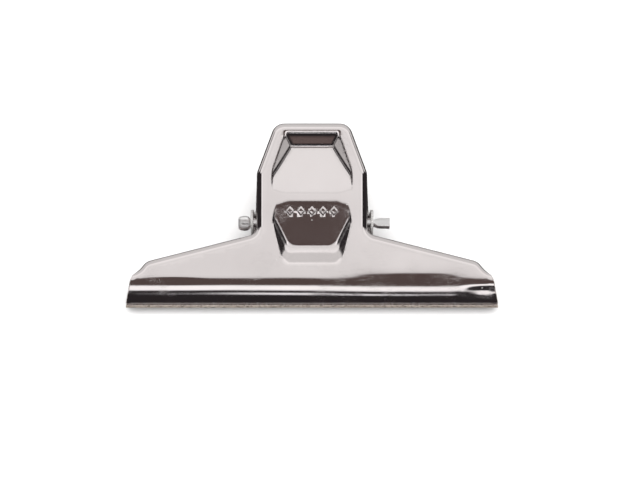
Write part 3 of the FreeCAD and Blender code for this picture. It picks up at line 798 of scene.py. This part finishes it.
# ------------------------------------------------------------------------------------
# Materials
# ------------------------------------------------------------------------------------
class Recipe:
    """A node tree under construction."""

    def __init__(self, owner):
        owner.use_nodes = True
        self.tree = owner.node_tree
        self.tree.nodes.clear()

    def add(self, kind, sockets=None, **settings):
        """A node with its settings, and each socket linked to an output or set to a value."""
        node = self.tree.nodes.new(kind)
        for key, value in settings.items():
            setattr(node, key, value)
        for key, value in (sockets or {}).items():
            if isinstance(value, bpy.types.NodeSocket):
                self.tree.links.new(value, node.inputs[key])
            else:
                node.inputs[key].default_value = value
        return node

    def math(self, operation, a, b=0.0, c=0.0, clamp=False):
        node = self.add("ShaderNodeMath", {0: a, 1: b, 2: c}, operation=operation, use_clamp=clamp)
        return node.outputs[0]

    def mix(self, share, a, b):
        """From colour a to colour b by a share."""
        return self.add("ShaderNodeMix", {0: share, 6: a, 7: b}, data_type="RGBA").outputs[2]

    def rise(self, value, low, high):
        """0 at low and beyond it, 1 at high and beyond it; low may be the larger."""
        node = self.add("ShaderNodeMapRange", {0: value, 1: low, 2: high, 3: 0.0, 4: 1.0})
        return node.outputs[0]

    def ramp(self, value, stops):
        """A colour or grey that runs straight between stops, each a value and its colour or grey."""
        node = self.add("ShaderNodeValToRGB", {0: value})
        elements = node.color_ramp.elements
        while len(elements) < len(stops):
            elements.new(0.5)
        for element, (place, colour) in zip(elements, stops):
            element.position = place
            element.color = (*colour, 1) if hasattr(colour, "__len__") else (colour, colour, colour, 1)
        return node.outputs[0]

    def noise(self, vector, scale, detail=3.0, roughness=0.5):
        sockets = {"Vector": vector, "Scale": scale, "Detail": detail, "Roughness": roughness}
        return self.add("ShaderNodeTexNoise", sockets).outputs["Fac"]

    def noise_along(self, value, scale, detail):
        """Noise that varies with one number only."""
        sockets = {"W": value, "Scale": scale, "Detail": detail}
        return self.add("ShaderNodeTexNoise", sockets, noise_dimensions="1D").outputs["Fac"]

    def finish(self, colour, metallic, roughness, height, bump_strength, bump_distance):
        """The shader and the output, with a bump from a height."""
        sockets = {"Strength": bump_strength, "Distance": bump_distance, "Height": height}
        bump = self.add("ShaderNodeBump", sockets).outputs[0]
        sockets = {"Base Color": colour, "Metallic": metallic, "Roughness": roughness, "Normal": bump}
        shader = self.add("ShaderNodeBsdfPrincipled", sockets)
        self.add("ShaderNodeOutputMaterial", {0: shader.outputs[0]})

    def scratches(self, vector, turn, length, thickness, rarity):
        """Thin, sparse, nearly straight lines: 1 on a scratch and 0 off it."""
        sockets = {0: vector, 2: turn, 3: (length, thickness, thickness)}
        turned = self.add("ShaderNodeMapping", sockets).outputs[0]
        lines = self.noise(turned, 1.0, 2.0)
        narrow = self.ramp(lines, ((0.488, 0.0), (0.5, 1.0), (0.512, 0.0)))
        patches = self.ramp(self.noise(vector, rarity, 1.0), ((0.54, 0.0), (0.66, 1.0)))
        return self.math("MULTIPLY", narrow, patches)

    def specks(self, vector, scale, size, rarity):
        """Small round dots in some cells of a scatter: 1 on a dot and 0 off it."""
        cells = self.add("ShaderNodeTexVoronoi", {0: vector, "Scale": scale})
        dot = self.math("LESS_THAN", cells.outputs["Distance"], size)
        chosen = self.add("ShaderNodeSeparateColor", {0: cells.outputs["Color"]}).outputs[0]
        return self.math("MULTIPLY", dot, self.math("GREATER_THAN", chosen, rarity))


def bright_plating(name, tint, deep_tint, smoothness, wear_rough, dust):
    """Bright nickel over steel: uneven colour, hairline scratches, dust specks, and darker, duller patches
    where the sheet bends: real wear on raised edges, painted shade in sunken creases.
    """
    material = bpy.data.materials.new(name)
    r = Recipe(material)
    place = r.add("ShaderNodeTexCoord").outputs["Object"]
    worn_and_crease_shaded = r.add("ShaderNodeAttribute", attribute_name="wear_and_crease_shade").outputs["Fac"]
    cloud = r.noise(place, 70.0, 4.0)
    hair = r.scratches(place, (0.3, 0.2, 0.5), 90.0, 5200.0, 60.0)
    cross_hair = r.scratches(place, (0.9, 0.4, 1.9), 120.0, 6400.0, 85.0)
    marks = r.math("MAXIMUM", hair, cross_hair)
    specks = r.specks(place, 420.0, 0.06, dust)
    flecks = r.specks(place, 900.0, 0.07, dust)
    dusty = r.math("MAXIMUM", specks, flecks)
    # Darker and rougher by the wear attribute: real wear on edges, and painted shade in the hollows' sunken
    # creases.
    rubbed_and_crease_shaded = r.math("MULTIPLY", worn_and_crease_shaded, r.ramp(r.noise(place, 900.0, 3.0), ((0.35, 0.0), (0.7, 1.0))))
    colour = r.mix(r.ramp(cloud, ((0.3, 0.0), (0.7, 1.0))), tint, deep_tint)
    colour = r.mix(r.math("MULTIPLY", rubbed_and_crease_shaded, 0.35), colour, (0.46, 0.44, 0.42, 1))
    colour = r.mix(dusty, colour, (0.86, 0.85, 0.84, 1))
    roughness = r.math("MULTIPLY_ADD", cloud, 0.05, smoothness)
    roughness = r.math("MULTIPLY_ADD", marks, 0.22, roughness)
    roughness = r.math("MULTIPLY_ADD", rubbed_and_crease_shaded, wear_rough, roughness)
    roughness = r.math("MULTIPLY_ADD", dusty, 0.6, roughness, clamp=True)
    grain = r.noise(place, 2600.0, 2.0)
    height = r.math("MULTIPLY_ADD", marks, -0.5, r.math("MULTIPLY", grain, 0.12))
    height = r.math("ADD", height, dusty)
    r.finish(colour, r.math("SUBTRACT", 1.0, dusty), roughness, height, 0.25, 0.03 * MM)
    return material


def sheared_steel(name, dark, middle, light, pitting):
    """The sheet's cut edge: dull grainy steel with streaks of torn plating and dark pits."""
    material = bpy.data.materials.new(name)
    r = Recipe(material)
    place = r.add("ShaderNodeTexCoord").outputs["Object"]
    grain = r.noise(place, 1500.0, 5.0, 0.65)
    drawn = r.add("ShaderNodeMapping", {0: place, 3: (0.35, 1.0, 1.0)}).outputs[0]
    pits = r.ramp(r.noise(drawn, 2600.0, 3.0, 0.6), ((0.36, 1.0), (0.46, 0.0)))
    colour = r.ramp(grain, ((0.3, dark), (0.5, middle), (0.7, light)))
    colour = r.mix(r.math("MULTIPLY", pits, pitting), colour, (0.05, 0.04, 0.035, 1))
    roughness = r.math("MULTIPLY_ADD", grain, 0.3, 0.32, clamp=True)
    height = r.math("SUBTRACT", grain, pits)
    r.finish(colour, 0.45, roughness, height, 0.6, 0.1 * MM)
    return material


def drawn_wire(name):
    """Spring wire: grey drawn steel with fine streaks and a thin plating rubbed through in places."""
    material = bpy.data.materials.new(name)
    r = Recipe(material)
    place = r.add("ShaderNodeTexCoord").outputs["Object"]
    cloud = r.noise(place, 300.0, 4.0)
    fine = r.noise(place, 4000.0, 3.0)
    marks = r.scratches(place, (0.2, 1.1, 0.4), 300.0, 7000.0, 200.0)
    colour = r.mix(r.ramp(cloud, ((0.35, 0.0), (0.65, 1.0))), (0.52, 0.5, 0.49, 1), (0.38, 0.37, 0.37, 1))
    colour = r.mix(r.math("MULTIPLY", marks, 0.6), colour, (0.7, 0.69, 0.68, 1))
    roughness = r.math("MULTIPLY_ADD", cloud, 0.2, 0.2)
    roughness = r.math("MULTIPLY_ADD", marks, 0.2, roughness, clamp=True)
    height = r.math("SUBTRACT", fine, marks)
    r.finish(colour, 1.0, roughness, height, 0.3, 0.04 * MM)
    return material


nickel = bright_plating(
    "bright_nickel",
    tint=(0.815, 0.772, 0.772, 1),
    deep_tint=(0.78, 0.738, 0.737, 1),
    smoothness=0.045,
    wear_rough=0.3,
    dust=0.93,
)
pin_nickel = bright_plating(
    "pin_plating",
    tint=(0.97, 0.97, 0.97, 1),
    deep_tint=(0.86, 0.86, 0.86, 1),
    smoothness=0.3,
    wear_rough=0.25,
    dust=0.97,
)
rim_edge = sheared_steel(
    "plated_edge",
    dark=(0.5, 0.49, 0.48),
    middle=(0.64, 0.63, 0.62),
    light=(0.76, 0.75, 0.74),
    pitting=0.25,
)
cut_edge = sheared_steel(
    "sheared_edge",
    dark=(0.22, 0.18, 0.15),
    middle=(0.42, 0.36, 0.31),
    light=(0.58, 0.52, 0.46),
    pitting=0.9,
)
wire_steel = drawn_wire("spring_steel")


# ------------------------------------------------------------------------------------
# The pieces and what they ride
# ------------------------------------------------------------------------------------
plate_finishes = [nickel, cut_edge, rim_edge]
front_shape = PlateShape(FRONT_HALF, 0.0, FRONT_EAR_TOP, 1.0)
front = jaw_plate("front_plate_pressing", front_shape, FRONT_SPACING, front_place, plate_finishes)
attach(front, "front_jaw")
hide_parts("front_jaw_plate")

rear_shape = PlateShape(REAR_HALF, REAR_LIP_EXTRA, REAR_EAR_TOP, 0.0)
rear = jaw_plate("rear_plate_pressing", rear_shape, REAR_SPACING, rear_place, plate_finishes)
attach(rear, "rear_jaw")
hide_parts("rear_jaw_plate")

pin = axle_pin([pin_nickel, cut_edge])
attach(pin, "axle")
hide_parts("axle_pin")

for side, name in ((1, "spring_coil_right"), (-1, "spring_coil_left")):
    spring = half_spring(name, side, [wire_steel, cut_edge])
    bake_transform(spring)
    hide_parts("torsion_spring")


# ------------------------------------------------------------------------------------
# Floor, studio and camera
# ------------------------------------------------------------------------------------
def pale_floor():
    """A plain pale floor under the clip."""
    half = 2.5
    corners = [(-half, -half, 0), (half, -half, 0), (half, half, 0), (-half, half, 0)]
    mesh = bpy.data.meshes.new("floor")
    mesh.from_pydata(corners, [], [(0, 1, 2, 3)])
    floor = bpy.data.objects.new("floor", mesh)
    bpy.context.scene.collection.objects.link(floor)
    material = bpy.data.materials.new("pale_floor")
    r = Recipe(material)
    place = r.add("ShaderNodeTexCoord").outputs["Object"]
    colour = r.mix(r.noise(place, 40.0), (0.93, 0.93, 0.93, 1), (0.91, 0.91, 0.91, 1))
    sockets = {"Base Color": colour, "Roughness": 0.9, "Specular IOR Level": 0.1}
    shader = r.add("ShaderNodeBsdfPrincipled", sockets)
    r.add("ShaderNodeOutputMaterial", {0: shader.outputs[0]})
    mesh.materials.append(material)
    floor.visible_glossy = False
    floor.location.z = -0.1 * MM


# What the plating reflects, by height: the angle in degrees from the level line on the jaws' side, up
# over the top and down behind the handle. Each stop is a height and its colour, or how much shows.
BROWN = (0.063, 0.046, 0.043)
BLACK = (0.017, 0.0145, 0.0155)
WHITE = (0.78, 0.77, 0.77)
BELOW = (0.03, 0.027, 0.027)
ROOM = (
    (-180, (0.42, 0.415, 0.41)),
    (-168, (0.35, 0.345, 0.34)),
    (-160, BELOW),
    (-60, BELOW),
    (-5, BROWN),
    (4, BROWN),
    (7, BLACK),
    (37.2, BLACK),
    (38.6, WHITE),
    (48.6, WHITE),
    (50.2, BROWN),
    (66, BROWN),
    (67.6, (0.515, 0.505, 0.5)),
    (73, (0.567, 0.558, 0.553)),
    (77, (0.617, 0.608, 0.602)),
    (83, (0.55, 0.542, 0.537)),
    (89, (0.63, 0.622, 0.616)),
    (99, (0.63, 0.622, 0.616)),
    (103, (0.7, 0.69, 0.685)),
    (112, (0.7, 0.69, 0.685)),
    (121, (0.5, 0.492, 0.487)),
    (179, (0.45, 0.445, 0.44)),
)
GLINT = ((26.8, 0.0), (28.2, 1.0), (31.0, 1.0), (32.0, 0.0))        # a short pale strip in the black
STREAKED = ((-14.0, 0.0), (-8.0, 1.0), (3.0, 1.0), (6.0, 0.0))      # faint upright streaks, low down


def studio_world():
    """A pale soft tent overhead, with a darker room in front of it and dark drapes at the sides."""
    world = bpy.data.worlds.new("studio")
    bpy.context.scene.world = world
    r = Recipe(world)
    way = r.add("ShaderNodeSeparateXYZ", {0: r.add("ShaderNodeTexCoord").outputs["Generated"]})
    x, y, z = way.outputs
    aside = r.math("ABSOLUTE", x)
    height = r.math("ARCTAN2", z, r.math("MULTIPLY", y, -1.0))
    uneven = r.math("SUBTRACT", r.noise_along(x, 22.0, 1.0), 0.5)
    share = r.math("MULTIPLY_ADD", height, 1 / (2 * math.pi), 0.5)
    share = r.math("ADD", share, r.math("MULTIPLY", uneven, 7.0 / 360))

    def by_height(stops):
        return r.ramp(share, [((degrees + 180) / 360, shade) for degrees, shade in stops])

    glint = r.math("MULTIPLY", by_height(GLINT), r.rise(aside, 0.026, 0.014))
    colour = r.mix(glint, by_height(ROOM), (0.8, 0.8, 0.82, 1))
    streak = r.ramp(r.noise_along(x, 330.0, 2.0), ((0.42, 0.0), (0.62, 1.0)))
    colour = r.mix(r.math("MULTIPLY", streak, by_height(STREAKED)), colour, (0.15, 0.112, 0.106, 1))
    far_sides = r.math("MULTIPLY", r.rise(aside, 0.68, 0.85), r.rise(y, -0.16, -0.24))
    colour = r.mix(far_sides, colour, (0.42, 0.41, 0.405, 1))

    # The drapes hang on both sides between two slanting edges, with a pale strip before them.
    behind = r.math("SUBTRACT", y, r.math("MULTIPLY_ADD", aside, 0.6, -0.428))
    behind = r.math("MULTIPLY_ADD", r.rise(z, 0.5, 0.4), -0.2, behind)
    behind = r.math("MULTIPLY_ADD", r.rise(z, 0.45, 0.6), 0.1, behind)
    ahead = r.math("SUBTRACT", y, r.math("MULTIPLY_ADD", aside, 0.375, -0.485))
    drape = r.math("MULTIPLY", r.rise(behind, 0.1, 0.02), r.rise(ahead, -0.06, -0.01))
    strip = r.math("MULTIPLY", r.rise(aside, 0.38, 0.43), r.rise(y, -0.06, -0.11))
    colour = r.mix(r.math("MULTIPLY", strip, drape), colour, (*WHITE, 1))
    wall = r.math("MULTIPLY", r.rise(aside, 0.58, 0.62), drape)
    post = r.math("MULTIPLY", r.rise(aside, 0.79, 0.82), r.rise(y, 0.37, 0.35))
    post = r.math("MULTIPLY", post, r.math("MULTIPLY", r.rise(z, 0.12, 0.16), r.rise(z, 0.52, 0.49)))
    dark = r.math("MULTIPLY", r.math("MAXIMUM", wall, post), r.rise(z, -0.4, -0.3))
    colour = r.mix(dark, colour, (*BLACK, 1))

    reflected = r.add("ShaderNodeBackground", {0: colour, 1: 1.5})
    backdrop = r.add("ShaderNodeBackground", {0: (0.97, 0.97, 0.97, 1), 1: 1.0})
    camera_ray = r.add("ShaderNodeLightPath").outputs["Is Camera Ray"]
    both = r.add("ShaderNodeMixShader", {0: camera_ray, 1: reflected.outputs[0], 2: backdrop.outputs[0]})
    r.add("ShaderNodeOutputWorld", {0: both.outputs[0]})


def floor_lamp():
    """A soft overhead lamp that lights the floor but isn't seen in the plating."""
    lamp = bpy.data.lights.new("overhead", "SUN")
    lamp.energy = 3.0
    lamp.angle = math.radians(120)
    overhead = bpy.data.objects.new("overhead", lamp)
    overhead.rotation_euler = (math.radians(12), math.radians(8), 0)
    overhead.visible_glossy = False
    bpy.context.scene.collection.objects.link(overhead)


def studio_camera():
    """A long lens that looks down on the clip from its jaw side."""
    elevation = math.radians(57.5)
    distance = 1.6
    frame_width = 0.2163
    back = Vector((0, -math.cos(elevation), math.sin(elevation)))
    screen_up = Vector((0, math.sin(elevation), math.cos(elevation)))
    target = AXLE + Vector((2.7 * MM, 0, 0)) - screen_up * 5.6 * MM
    data = bpy.data.cameras.new("camera")
    data.lens = data.sensor_width * distance / frame_width
    camera = bpy.data.objects.new("camera", data)
    camera.location = target + back * distance
    camera.rotation_mode = "QUATERNION"
    camera.rotation_quaternion = (-back).to_track_quat("-Z", "Y")
    bpy.context.scene.collection.objects.link(camera)
    bpy.context.scene.camera = camera


pale_floor()
studio_world()
floor_lamp()
studio_camera()
bpy.context.scene.view_settings.view_transform = "Standard"
